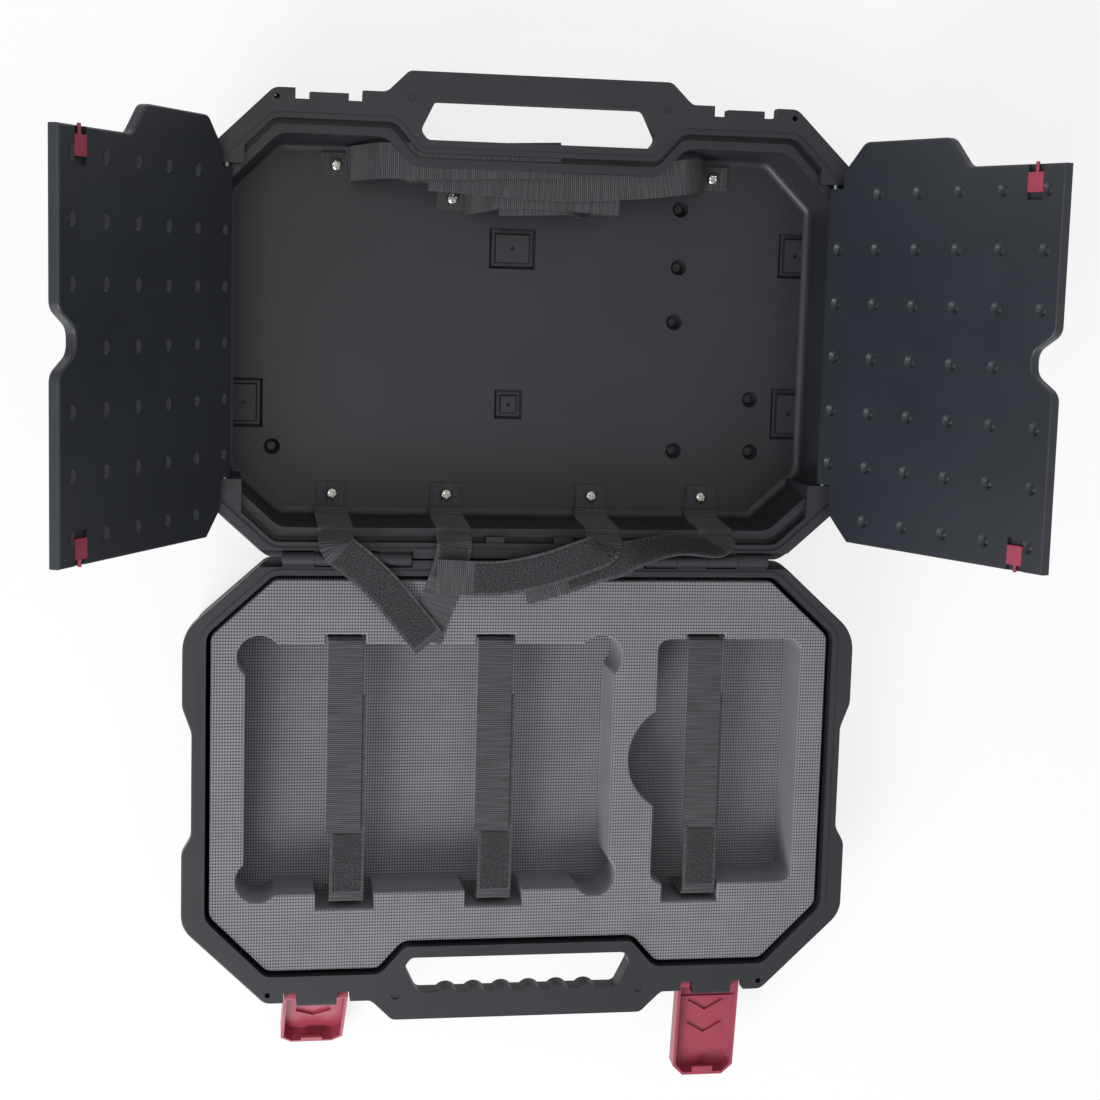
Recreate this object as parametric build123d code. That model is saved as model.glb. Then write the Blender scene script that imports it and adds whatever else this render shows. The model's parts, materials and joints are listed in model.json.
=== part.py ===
from build123d import *
import math
import os

# A carrying case of two double-walled halves, open flat, seen from above.
# The hinge line is the X axis, the lid lies on +Y, the base on -Y and the rims face +Z at height 0.
# Every piece is moved once, when it is written, so that the origin is under the middle of the base.

# Shell, measured from the hinge line outwards
half_width = 247.5
rear_gap = 0.5
front_edge = 328.5
rear_corner_x = 59.5
rear_corner_y = 53.5
front_corner_x = 60.5
front_corner_y = 58.5
waist_depth = 6.8
waist_rear = 107.5
waist_front = front_edge - 113.5
waist_rear_slope = 18.5
waist_front_slope = 12.0
half_depth = 75.0
flange_depth = 12.0
flange_edge_round = 1.0
flange_lower_round = 2.5
tub_inset = 3.5
tub_draft = 3.0
tub_bottom_round = 9.0
least_round = 1.5

# Handle, half of it on each shell
handle_foot = 109.0
handle_half_length = handle_foot - 15.4
handle_reach = 15.0
handle_depth = 17.0
handle_round = 3.5
grip_bar = 20.0
opening_rear = front_edge - 32.0
opening_side_run = 6.5
opening_half_wide = handle_foot - 24.0
opening_half_rear = opening_half_wide - 5.0
opening_half_front = opening_half_wide - 10.0
opening_round = 5.0
finger_bumps = 6
finger_end = 22.5
finger_round = 9.5
finger_height = 3.0
flange_hole = 4.0
flange_hole_x = half_width - 62.5
flange_hole_y = front_edge - 6.5
boss_dish = 6.0
boss_dish_depth = 1.0
boss_x = handle_foot - 17.5
boss_y = front_edge - 3.5

# Rim: the line where the base's tongue meets the lid's rebate
rim_side = 16.5
rim_rear = 11.3
rim_front = 20.5
rim_rear_corner_x = 47.0
rim_rear_corner_y = 43.0
rim_front_corner = 44.0
recess_foot = handle_foot - 6.0
recess_half = handle_foot - 24.0
recess_depth = 20.25
recess_wall_share = 0.9
seam_width = 4.0
tongue_height = 1.2
rebate_depth = 1.6
tongue_side_gap = 0.2

# Lid: ledge, groove and tray
ledge_depth = 9.0
groove_width = 3.7
groove_depth = 13.0
ledge_width = 6.0
tray_depth = half_depth - 15.0
tray_draft = 4.0
tray_bottom_round = 6.0
pad_inner = half_width - 40.5
pad_front = front_edge - 52.5
pad_rear = 56.4

# Tray floor: round dimples, and square pads inside a moat
dimple_mouth = 12.0
dimple_disc = 6.0
dimple_depth = 8.0
dimple_spots = [
    (117.0, front_edge - 71.5),
    (117.0, front_edge - 114.5),
    (115.0, front_edge - 155.5),
    (118.0, 76.0),
    (half_width - 71.5, 116.0),
    (half_width - 69.5, 76.0),
    (63.5 - half_width, 75.0),
]
floor_pads = [
    (half_width - 40.5, front_edge - 103.5, 18.0, 26.0),
    (half_width - 40.5, 105.5, 20.0, 31.0),
    (42.5 - half_width, 107.0, 20.0, 28.0),
    (-9.25, front_edge - 104.5, 26.5, 22.0),
    (-9.5, 109.0, 13.0, 14.0),
]
moat_width = 4.0
moat_depth = 3.0
moat_slope = 1.0
pad_hole = 3.0

# Hinge
knuckle_radius = 5.0
knuckle_length = 23.0
knuckle_end_gap = 10.0
knuckle_count = 4
knuckle_gap = 0.3
knuckle_slot_gap = 1.0
hinge_pin = 4.0
hinge_fit = 0.06
web_top = 0.4

# Flaps, with the lean above level at which each one rests when open
flap_lean_left = 61.6
flap_lean_right = 64.6
flap_pivot_x = half_width - 28.5
flap_pivot_depth = 4.5
flap_thickness = 8.0
flap_centre_gap = 0.75
flap_gap = 2.5
flap_rear = 18.0
flap_tongue = 13.0
flap_pad_gap = 3.0
flap_rear_pad_gap = 1.6
flap_round = 1.5
notch_mouth = 38.0
notch_floor = 15.0
notch_depth = 19.0
notch_centre = 156.0
notch_round = 10.0
flap_pin = 4.0
flap_pin_seat = 8.0
flap_pin_reach = 12.0
flap_pin_fit = 0.06
stop_gap = 0.25
flap_dimple = 9.5
flap_dimple_disc = 5.0
flap_dimple_depth = 2.6
flap_dimple_columns = 6
flap_dimple_rows = 7
flap_dimple_outer = 10.0
flap_dimple_inner = 14.5
flap_dimple_rear = 35.1
flap_dimple_front = 60.0
flap_dimples_left_out = [(0, 0), (0, 6), (5, 3)]

# Slide bolts on the flaps
bolt_x = 25.0
bolt_width = 13.0
bolt_length = 13.0
bolt_ledge_gap = 0.15
bolt_front_gap = 7.75
bolt_rear_gap = 5.8
bolt_pocket_depth = 2.5
bolt_side_gap = 0.2
bolt_floor_gap = 0.05
bolt_travel = 5.0
bolt_peg = 2.6
bolt_peg_gap = 1.0
bolt_hole_fit = 0.3
bolt_hole_depth = 6.5
keeper_width = 13.3
keeper_length = 4.4
keeper_top = 3.0

# Main latches
latch_shift = 1.0
latch_width = 47.0
latch_length = 77.0
latch_wall = 2.2
latch_back = 8.0
latch_front = 4.6
latch_chamfer = 8.0
latch_pivot_y = front_edge - 2.5
latch_pivot_depth = 14.0
latch_rest_gap = 0.3
latch_lean_right = 8.0
latch_pin = 3.0
latch_pin_fit = 0.05
latch_pin_end_gap = 0.1
latch_side_gap = 0.3
latch_floor_gap = 0.5
latch_step = 60.0
latch_step_height = 1.6
latch_lip = 16.0
latch_lip_reach = 4.5
chevron_first = 28.0
chevron_pitch = 19.0
chevron_half = 13.0
chevron_drop = 8.0
chevron_width = 2.4
chevron_height = 2.0
tab_half = 14.45
tab_lug = 5.5
tab_round = 3.0
notch_width = 10.0
latch_notch_depth = 7.5
bay_half = 27.0
bay_floor = front_edge - 12.5
keeper_tab_half = 13.4
keeper_tab_back = 2.5

# Foam in the base
foam_gap = 3.5
foam_top_depth = 2.5
cavity_depth = half_depth - 15.0
cavity_draft = 3.0
foam_base_height = 13.0
pocket_wall = 33.0
tablet_share = 0.7116
tablet_left = 44.5 - half_width
module_right = half_width - 39.5
tablet_right = tablet_left + tablet_share * (module_right - tablet_left - pocket_wall)
module_left = tablet_right + pocket_wall
tablet_rear = 62.0
tablet_front = front_edge - 81.5
tablet_bulge = 16.0
tablet_bulge_inset = 10.0
module_rear = 59.0
module_front = front_edge - 83.5
module_round = 9.0
finger_cut_reach = 20.0
finger_cut_y = (module_rear + module_front) / 2 - 3
finger_cut_radius = 42.0
strap_slots = [tablet_left + 73.5, tablet_left + 183.5, module_left + 30.5]
strap_slot_width = 43.0
rear_slot_gap = 2.0
strap_slot_reach = 12.0
rear_slot_reach = 7.0

# Webbing
webbing = 25.0
webbing_thick = 1.4
tab_width = 22.0
tab_length = 17.0
tab_thick = 2.8
screw_head = 9.0
screw_head_height = 2.6
screw_head_round = 1.5
screw_shank = 4.0
screw_length = 9.0
screw_hole_gap = 0.1
outer_anchor = (140.0, front_edge - 48.5)
inner_anchor = (55.0, front_edge - 69.5)
anchors_front = [(-outer_anchor[0], outer_anchor[1]), (-inner_anchor[0], inner_anchor[1]),
                 inner_anchor, outer_anchor]
anchors_rear = [(-140.0, 41.0), (-55.0, 41.0), (55.0, 41.0), (140.0, 41.0)]
strap_layer_gap = 0.1
strap_under_z = -4.6
strap_under_end = tablet_rear + 38.0
strap_upper_end = tablet_front - 46.0
strap_turn = 4.0
strap_shifts = [(1.0, -2.0), (0.0, -3.0), (7.0, 5.5)]
strap_centres = [(slot + under, slot + upper) for slot, (under, upper) in zip(strap_slots, strap_shifts)]
patch_thick = 0.6
patch_width = 20.0
patch_end_gap = 2.0

# How far a cut runs past the face that it opens
overlap = 1.0


def both_sides(points):
    """Closed outline from its right half, listed from the rear to the front."""
    return points + [(-x, y) for x, y in reversed(points)]


def outline(points, radii, grow=0.0):
    """Rounded face of a closed outline, with every side moved outwards by grow."""
    moved = []
    rounds = []
    for i, corner in enumerate(points):
        after = points[(i + 1) % len(points)]
        into = (Vector(*corner) - Vector(*points[i - 1])).normalized()
        out = (Vector(*after) - Vector(*corner)).normalized()
        reach = grow / (1 + into.dot(out))
        moved.append((corner[0] + reach * (into.Y + out.Y), corner[1] - reach * (into.X + out.X)))
        turn = 1 if into.cross(out).Z > 0 else -1
        rounds.append(max(radii[i] + turn * grow, least_round))
    return make_face(FilletPolyline(*moved, radius=rounds, close=True).edges())


def slab(face, bottom, top):
    """Solid of a flat face between two heights."""
    return Pos(0, 0, bottom) * extrude(face, top - bottom, dir=(0, 0, 1))


def drafted(points, radii, top_grow, top, bottom, draft):
    """Solid between two heights whose sides lean in by the draft angle towards the bottom."""
    shrink = (top - bottom) * math.tan(math.radians(draft))
    upper = Pos(0, 0, top) * outline(points, radii, top_grow)
    lower = Pos(0, 0, bottom) * outline(points, radii, top_grow - shrink)
    return loft([lower, upper], ruled=True)


def block(x0, x1, y0, y1, z0, z1):
    """Box between two corners."""
    return Pos((x0 + x1) / 2, (y0 + y1) / 2, (z0 + z1) / 2) * Box(x1 - x0, y1 - y0, z1 - z0)


def rod_x(radius, x0, x1, y=0.0, z=0.0):
    """Round bar along X."""
    return Pos((x0 + x1) / 2, y, z) * Rot(0, 90, 0) * Cylinder(radius, x1 - x0)


def rod_y(radius, y0, y1, x, z):
    """Round bar along Y."""
    return Pos(x, (y0 + y1) / 2, z) * Rot(90, 0, 0) * Cylinder(radius, y1 - y0)


def base_side(shape):
    """The same shape on the other side of the hinge line."""
    return mirror(shape, about=Plane.XZ)


def left_side(shape):
    """The same shape on the left."""
    return mirror(shape, about=Plane.YZ)


# Outlines
handle_edge = front_edge + handle_reach
outer_points = both_sides([
    (half_width - rear_corner_x, rear_gap),
    (half_width, rear_gap + rear_corner_y),
    (half_width, waist_rear),
    (half_width - waist_depth, waist_rear + waist_rear_slope),
    (half_width - waist_depth, waist_front - waist_front_slope),
    (half_width, waist_front),
    (half_width, front_edge - front_corner_y),
    (half_width - front_corner_x, front_edge),
    (handle_foot, front_edge),
    (handle_half_length, handle_edge),
])
outer_half_rounds = [12, 30, 16, 16, 12, 12, 22, 10, 8, 7]
outer_rounds = outer_half_rounds + outer_half_rounds[::-1]

rim_half = half_width - rim_side
rim_rear_edge = rear_gap + rim_rear
rim_front_edge = front_edge - rim_front
recess_edge = rim_front_edge - recess_depth
rim_points = both_sides([
    (rim_half - rim_rear_corner_x, rim_rear_edge),
    (rim_half, rim_rear_edge + rim_rear_corner_y),
    (rim_half, rim_front_edge - rim_front_corner),
    (rim_half - rim_front_corner, rim_front_edge),
    (recess_foot, rim_front_edge),
    (recess_half, recess_edge),
])
rim_half_rounds = [12, 14, 14, 12, 12, 8]
rim_rounds = rim_half_rounds + rim_half_rounds[::-1]
tray_half_rounds = [26, 26, 26, 26, 26, 8]
tray_rounds = tray_half_rounds + tray_half_rounds[::-1]

# The tub's front wall follows the handle recess half way between the rim line and the handle opening
recess_wall = (opening_rear - recess_edge) * recess_wall_share
tub_front = front_edge - tub_inset
recess_run = (recess_foot - recess_half) / recess_depth
tub_recess_x = recess_half + recess_wall * recess_run
tub_recess_y = recess_edge + recess_wall
tub_points = both_sides([
    (half_width - rear_corner_x, rear_gap + tub_inset),
    (half_width - tub_inset, rear_gap + rear_corner_y),
    (half_width - tub_inset, waist_rear),
    (half_width - waist_depth - tub_inset, waist_rear + waist_rear_slope),
    (half_width - waist_depth - tub_inset, waist_front - waist_front_slope),
    (half_width - tub_inset, waist_front),
    (half_width - tub_inset, front_edge - front_corner_y),
    (half_width - front_corner_x, tub_front),
    (tub_recess_x + (tub_front - tub_recess_y) * recess_run, tub_front),
    (tub_recess_x, tub_recess_y),
])
tub_half_rounds = [14, 30, 16, 16, 12, 12, 22, 14, 12, 10]
tub_rounds = tub_half_rounds + tub_half_rounds[::-1]

opening_front = handle_edge - grip_bar
opening_points = both_sides([
    (opening_half_rear, opening_rear),
    (opening_half_wide, opening_rear + opening_side_run),
    (opening_half_front, opening_front),
])
opening_rounds = [opening_round] * 6
finger_pitch = 2 * (opening_half_front - finger_end) / (finger_bumps - 1)


knuckle_outer = half_width - rear_corner_x - knuckle_end_gap
latch_x = (handle_foot + half_width - front_corner_x) / 2 + latch_shift


def shell_blank(bumps):
    """One solid half with its flange, handle bar and tub, on the +Y side."""
    flange = slab(outline(outer_points, outer_rounds), -flange_depth, 0)
    flange = fillet(flange.edges().group_by(Axis.Z)[0], flange_lower_round)
    flange = fillet(flange.edges().group_by(Axis.Z)[-1], flange_edge_round)
    bar_zone = block(-handle_foot, handle_foot, recess_edge, handle_edge + overlap, -handle_depth, 0)
    grip = slab(outline(outer_points, outer_rounds), -handle_depth, 0) & bar_zone
    grip = fillet(grip.edges().group_by(Axis.Z)[0], handle_round)
    opening = outline(opening_points, opening_rounds)
    if bumps:
        row = [finger_pitch * (i - (finger_bumps - 1) / 2) for i in range(finger_bumps)]
        centre = opening_front + finger_round - finger_height
        opening -= [Pos(x, centre) * Circle(finger_round) for x in row]
    tub = drafted(tub_points, tub_rounds, 0, -flange_lower_round, -half_depth, tub_draft)
    tub = fillet(tub.edges().group_by(Axis.Z)[0], tub_bottom_round)
    shell = flange + grip + tub
    shell -= slab(opening, -handle_depth - overlap, overlap)
    for side in (-1, 1):
        shell -= Pos(side * flange_hole_x, flange_hole_y, -flange_depth / 2) * Cylinder(
            flange_hole / 2, flange_depth + 2 * overlap)
        shell -= Pos(side * boss_x, boss_y, -boss_dish_depth / 2) * Cylinder(
            boss_dish / 2, boss_dish_depth)
        bay_x = side * latch_x
        shell -= block(bay_x - bay_half, bay_x + bay_half, bay_floor, front_edge + overlap,
                       -half_depth - overlap, -flange_depth)
        slot = knuckle_radius + knuckle_slot_gap
        inner = knuckle_outer - knuckle_count * knuckle_length - knuckle_slot_gap
        ends = sorted((side * inner, side * half_width))
        shell -= rod_x(slot, ends[0], ends[1])
    return shell


def knuckles(side, first, bore):
    """Every second knuckle on one side of the case, with the web that carries it."""
    group = []
    for i in range(first, knuckle_count, 2):
        outer = side * (knuckle_outer - i * knuckle_length - knuckle_gap / 2)
        inner = side * (knuckle_outer - (i + 1) * knuckle_length + knuckle_gap / 2)
        x0, x1 = sorted((inner, outer))
        web = block(x0, x1, 0, rear_gap + knuckle_radius + knuckle_slot_gap + overlap,
                    -knuckle_radius, -web_top)
        group.append(rod_x(knuckle_radius, x0, x1) + web - rod_x(bore, x0 - overlap, x1 + overlap))
    return group


# Base shell
pin_radius = hinge_pin / 2
base_shell = shell_blank(True)
seam = outline(rim_points, rim_rounds, seam_width - tongue_side_gap)
base_shell += slab(seam, -overlap, tongue_height)
base_shell -= drafted(rim_points, rim_rounds, 0, tongue_height + overlap, -cavity_depth, cavity_draft)
for side in (-1, 1):
    centre = side * latch_x
    for edge in (-1, 1):
        x0, x1 = sorted((centre + edge * tab_half, centre + edge * (tab_half + notch_width)))
        base_shell -= block(x0, x1, front_edge - latch_notch_depth, front_edge + overlap,
                            -flange_depth - overlap, overlap)
    tab = block(centre - tab_half, centre + tab_half, latch_pivot_y - tab_lug,
                latch_pivot_y + tab_lug, -latch_pivot_depth, 0)
    tab = fillet(tab.edges().filter_by(Axis.X).group_by(Axis.Y)[-1].sort_by(Axis.Z)[-1:], tab_round)
    lug = rod_x(tab_lug, centre - tab_half, centre + tab_half, latch_pivot_y, -latch_pivot_depth)
    base_shell += tab + lug
    base_shell -= rod_x(latch_pin / 2, centre - tab_half - overlap, centre + tab_half + overlap,
                        latch_pivot_y, -latch_pivot_depth)
    for piece in knuckles(side, 0, pin_radius):
        base_shell += piece
base_shell = base_side(base_shell)

# Lid shell
def stop_reach(lean):
    """Distance from the flap's pivot to the rim edge that holds the flap's back at a lean."""
    turn = math.radians(lean)
    return (flap_thickness / 2 + stop_gap + flap_pivot_depth * math.cos(turn)) / math.sin(turn)


stop_left = flap_pivot_x + stop_reach(flap_lean_left)
stop_right = flap_pivot_x + stop_reach(flap_lean_right)
lid_shell = shell_blank(False)
lid_shell -= slab(outline(rim_points, rim_rounds, seam_width), -rebate_depth, overlap)
tray_wall = groove_width + ledge_width
rim_face = outline(rim_points, rim_rounds)
pads = block(pad_inner, half_width, pad_front, front_edge, -half_depth, overlap)
pads += block(pad_inner, half_width, 0, pad_rear, -half_depth, overlap)
pads += left_side(pads)
recess = slab(rim_face, -ledge_depth, overlap) - pads
stops = block(stop_right, half_width, 0, front_edge, -half_depth, overlap)
stops += block(-half_width, -stop_left, 0, front_edge, -half_depth, overlap)
recess -= stops
bay = block(pad_inner, stop_right, pad_rear, pad_front, -ledge_depth, overlap)
bay += block(-stop_left, -pad_inner, pad_rear, pad_front, -ledge_depth, overlap)
lid_shell -= recess + bay
groove = slab(rim_face, -groove_depth, -ledge_depth + overlap)
groove -= slab(outline(rim_points, rim_rounds, -groove_width), -groove_depth, -ledge_depth + overlap)
lid_shell -= groove - pads - stops
tray = drafted(rim_points, tray_rounds, -tray_wall, -ledge_depth + overlap, -tray_depth, tray_draft)
tray = fillet(tray.edges().group_by(Axis.Z)[0], tray_bottom_round)
lid_shell -= tray - pads
pivot_z = -flap_pivot_depth
for side in (-1, 1):
    centre = side * latch_x
    for edge in (-1, 1):
        x0, x1 = sorted((centre + edge * keeper_tab_half,
                         centre + edge * (keeper_tab_half + notch_width)))
        lid_shell -= block(x0, x1, front_edge - latch_notch_depth, front_edge + overlap,
                           -flange_depth - overlap, overlap)
    lid_shell -= block(centre - keeper_tab_half - overlap, centre + keeper_tab_half + overlap,
                       front_edge - keeper_tab_back, front_edge + overlap,
                       -flange_depth - overlap, overlap)
    for piece in knuckles(side, 1, pin_radius + hinge_fit):
        lid_shell += piece
    lid_shell -= rod_y(flap_pin / 2, pad_front - overlap, pad_front + flap_pin_seat,
                       side * flap_pivot_x, pivot_z)
    lid_shell -= rod_y(flap_pin / 2, pad_rear - flap_pin_seat, pad_rear + overlap,
                       side * flap_pivot_x, pivot_z)

# Slide bolt keepers and holes
flap_under = -flap_pivot_depth - flap_thickness / 2
peg_z = flap_under + bolt_pocket_depth - bolt_floor_gap - bolt_peg / 2
hole_radius = bolt_peg / 2 + bolt_hole_fit
for side in (-1, 1):
    x = side * bolt_x
    lid_shell -= rod_y(hole_radius, recess_edge - overlap, recess_edge + bolt_hole_depth, x, peg_z)
    keeper = block(x - keeper_width / 2, x + keeper_width / 2, rim_rear_edge - overlap,
                   rim_rear_edge + keeper_length, -groove_depth, -keeper_top)
    lid_shell += keeper
    lid_shell -= rod_y(hole_radius, rim_rear_edge - overlap, rim_rear_edge + keeper_length + overlap,
                       x, peg_z)

# Tray floor
for x, y in dimple_spots:
    lid_shell -= Pos(x, y, -tray_depth - dimple_depth / 2) * Cone(
        dimple_disc / 2, dimple_mouth / 2, dimple_depth)
for x, y, wide, long in floor_pads:
    moat = loft([
        Pos(x, y, -tray_depth - moat_depth) * Rectangle(wide + moat_width, long + moat_width),
        Pos(x, y, -tray_depth) * Rectangle(wide + 2 * moat_width, long + 2 * moat_width),
    ])
    island = loft([
        Pos(x, y, -tray_depth - moat_depth) * Rectangle(wide, long),
        Pos(x, y, -tray_depth) * Rectangle(wide - 2 * moat_slope, long - 2 * moat_slope),
    ])
    lid_shell -= moat - island
    lid_shell -= Pos(x, y, -tray_depth) * Cylinder(pad_hole / 2, moat_depth * 2)

# Hinge pins
pin_inner = knuckle_outer - knuckle_count * knuckle_length
hinge_pin_right = rod_x(pin_radius, pin_inner, knuckle_outer)
hinge_pin_left = left_side(hinge_pin_right)

# Flap, shut, on the right
tongue_x = flap_pivot_x - flap_tongue
flap_front_end = pad_front - flap_pad_gap
flap_rear_end = pad_rear + flap_rear_pad_gap
flap_top = pivot_z + flap_thickness / 2
flap_face = outline(rim_points, rim_rounds, -flap_gap)
flap_face &= Pos((flap_pivot_x + flap_centre_gap) / 2, (flap_rear + front_edge) / 2) * Rectangle(
    flap_pivot_x - flap_centre_gap, front_edge - flap_rear)
for low, high in ((flap_front_end, front_edge), (0, flap_rear_end)):
    flap_face -= Pos((tongue_x + half_width) / 2, (low + high) / 2) * Rectangle(
        half_width - tongue_x, high - low)
notch = Polygon(
    (flap_centre_gap - overlap, notch_centre - notch_mouth / 2 - overlap),
    (flap_centre_gap + notch_depth, notch_centre - notch_floor / 2),
    (flap_centre_gap + notch_depth, notch_centre + notch_floor / 2),
    (flap_centre_gap - overlap, notch_centre + notch_mouth / 2 + overlap), align=None)
flap_face -= notch
notch_corners = flap_face.vertices().filter_by(
    lambda v: v.X < flap_centre_gap + notch_depth + overlap and abs(v.Y - notch_centre) < notch_mouth)
flap_face = fillet(notch_corners, notch_round)
flap = slab(flap_face, flap_under, flap_top)
faces_edges = flap.edges().group_by(Axis.Z)[0] + flap.edges().group_by(Axis.Z)[-1]
flap = fillet(faces_edges.filter_by(lambda e: e.center().X < tongue_x), flap_round)
flap += rod_y(flap_thickness / 2, flap_rear_end, flap_front_end, flap_pivot_x, pivot_z)
dimple_pitch_x = (flap_pivot_x - flap_dimple_outer - flap_dimple_inner) / (flap_dimple_columns - 1)
dimple_pitch_y = (front_edge - flap_dimple_front - flap_dimple_rear) / (flap_dimple_rows - 1)
for column in range(flap_dimple_columns):
    for row in range(flap_dimple_rows):
        if (column, row) in flap_dimples_left_out:
            continue
        x = flap_pivot_x - flap_dimple_outer - column * dimple_pitch_x
        y = flap_dimple_rear + row * dimple_pitch_y
        flap -= Pos(x, y, flap_under + flap_dimple_depth / 2) * Cone(
            flap_dimple / 2, flap_dimple_disc / 2, flap_dimple_depth)
bolt_front = recess_edge - bolt_front_gap
bolt_rear = rim_rear_edge + keeper_length + bolt_rear_gap
bolt_room = bolt_length + bolt_travel
for low, high in ((bolt_front - bolt_room, front_edge), (0, bolt_rear + bolt_room)):
    half = bolt_width / 2 + bolt_side_gap
    flap -= block(bolt_x - half, bolt_x + half, low, high, flap_under - overlap,
                  flap_under + bolt_pocket_depth)
pin_bore = flap_pin / 2 + flap_pin_fit
flap -= rod_y(pin_bore, flap_front_end - flap_pin_reach, flap_front_end + overlap, flap_pivot_x, pivot_z)
flap -= rod_y(pin_bore, flap_rear_end - overlap, flap_rear_end + flap_pin_reach, flap_pivot_x, pivot_z)

# Slide bolts, shut flap, drawn back
bolt_top = flap_under + bolt_pocket_depth - bolt_floor_gap
bolt_bottom = bolt_ledge_gap - ledge_depth
bolt_front_piece = block(bolt_x - bolt_width / 2, bolt_x + bolt_width / 2,
                         bolt_front - bolt_length, bolt_front, bolt_bottom, bolt_top)
bolt_front_piece += rod_y(bolt_peg / 2, bolt_front - overlap, recess_edge - bolt_peg_gap, bolt_x, peg_z)
bolt_rear_piece = block(bolt_x - bolt_width / 2, bolt_x + bolt_width / 2,
                        bolt_rear, bolt_rear + bolt_length, bolt_bottom, bolt_top)
keeper_face = rim_rear_edge + keeper_length
bolt_rear_piece += rod_y(bolt_peg / 2, keeper_face + bolt_peg_gap, bolt_rear + overlap, bolt_x, peg_z)


def opened(shape, side, lean):
    """A piece of the shut right flap, swung open; side -1 gives the left flap's piece."""
    axis = Axis((flap_pivot_x, 0, pivot_z), (0, 1, 0))
    swung = shape.rotate(axis, 180 - lean)
    return swung if side > 0 else left_side(swung)


flap_pin_front = rod_y(flap_pin / 2, flap_front_end - flap_pin_reach, pad_front + flap_pin_seat,
                       flap_pivot_x, pivot_z)
flap_pin_rear = rod_y(flap_pin / 2, pad_rear - flap_pin_seat, flap_rear_end + flap_pin_reach,
                      flap_pivot_x, pivot_z)


# Latch, level, on the +Y side with its open face up
def latch_body():
    """Channel-shaped latch pointing along +Y from its pivot."""
    y0 = latch_pivot_y
    z0 = -latch_pivot_depth
    tip = y0 + latch_length
    half = latch_width / 2
    body = block(-half, half, y0, tip, z0 - latch_back, z0 + latch_front)
    body = fillet(body.edges().filter_by(Axis.X).group_by(Axis.Z)[0], latch_wall)
    corners = Polygon((half - latch_chamfer, tip), (half, tip), (half, tip - latch_chamfer), align=None)
    cut = slab(corners, z0 - latch_back - overlap, z0 + latch_front + overlap)
    body -= cut
    body -= left_side(cut)
    body += rod_x(latch_front, -half, half, y0, z0)
    inner = half - latch_wall
    pocket = block(-inner, inner, y0 - latch_front - overlap, tip - latch_wall,
                   z0 - latch_back + latch_wall, z0 + latch_front + overlap)
    in_corner = Polygon((inner - latch_chamfer, tip), (inner + overlap, tip),
                        (inner + overlap, tip - latch_chamfer - latch_wall), align=None)
    keep = slab(in_corner, z0 - latch_back, z0 + latch_front + 1)
    pocket -= keep
    pocket -= left_side(keep)
    body -= pocket
    floor = z0 - latch_back + latch_wall
    body += block(-inner, inner, y0 + latch_pivot_depth + latch_floor_gap, y0 + latch_step,
                  floor - overlap, floor + latch_step_height)
    for i in range(2):
        y = y0 + chevron_first + i * chevron_pitch
        arm = Polygon((0, y), (0, y - chevron_width), (chevron_half, y - chevron_drop - chevron_width),
                      (chevron_half, y - chevron_drop), align=None)
        rib = slab(arm, floor, floor + latch_step_height + chevron_height)
        body += rib + left_side(rib)
    body += block(-latch_lip / 2, latch_lip / 2, tip - latch_wall - latch_lip_reach, tip - latch_wall,
                  z0 + latch_front - latch_wall, z0 + latch_front)
    for edge in (-1, 1):
        x0, x1 = sorted((edge * (tab_half + latch_side_gap), edge * half))
        body += rod_x(latch_front, x0, x1, y0, z0)
    body -= rod_x(latch_pin / 2 + latch_pin_fit, -half + latch_wall / 2, half - latch_wall / 2, y0, z0)
    return body


def hung(shape, side, lean):
    """A latch piece moved to its place on the base and swung down by its lean."""
    axis = Axis((0, -latch_pivot_y, -latch_pivot_depth), (1, 0, 0))
    return Pos(side * latch_x, 0, 0) * base_side(shape).rotate(axis, lean)


# The left latch hangs until its tip is just above the table, the right one stands out
tip_radius = math.hypot(latch_length, latch_back)
drop = half_depth - latch_pivot_depth - latch_rest_gap
latch_lean_left = math.degrees(math.asin(drop / tip_radius) - math.atan2(latch_back, latch_length))
latch = latch_body()
latch_pin_half = (latch_width - latch_wall) / 2 - latch_pin_end_gap
latch_pin_body = rod_x(latch_pin / 2, -latch_pin_half, latch_pin_half, latch_pivot_y, -latch_pivot_depth)

# Foam
foam_outline = outline(rim_points, rim_rounds, -foam_gap)
foam_floor = -cavity_depth
foam_split = foam_floor + foam_base_height
foam_base = slab(foam_outline, foam_floor, foam_split)


def rectangle(x0, x1, y0, y1):
    """Rectangle between two corners."""
    return Pos((x0 + x1) / 2, (y0 + y1) / 2) * Rectangle(x1 - x0, y1 - y0)


pockets = rectangle(tablet_left, tablet_right, tablet_rear, tablet_front)
for x in (tablet_left + tablet_bulge_inset, tablet_right - tablet_bulge_inset):
    for y in (tablet_rear + tablet_bulge_inset, tablet_front - tablet_bulge_inset):
        pockets += Pos(x, y) * Circle(tablet_bulge)
pockets += Pos((module_left + module_right) / 2, (module_rear + module_front) / 2) * RectangleRounded(
    module_right - module_left, module_front - module_rear, module_round)
pockets += Pos(module_left - finger_cut_reach + finger_cut_radius, finger_cut_y) * Circle(
    finger_cut_radius)
for x in strap_slots:
    pockets += rectangle(x - strap_slot_width / 2, x + strap_slot_width / 2,
                         tablet_front - module_round, tablet_front + strap_slot_reach)
for _, x in strap_centres:
    half = webbing / 2 + rear_slot_gap
    pockets += rectangle(x - half, x + half, tablet_rear - rear_slot_reach, tablet_rear + module_round)
foam_top = slab(foam_outline, foam_split, -foam_top_depth) - slab(pockets, foam_split - overlap, 0)

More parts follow.
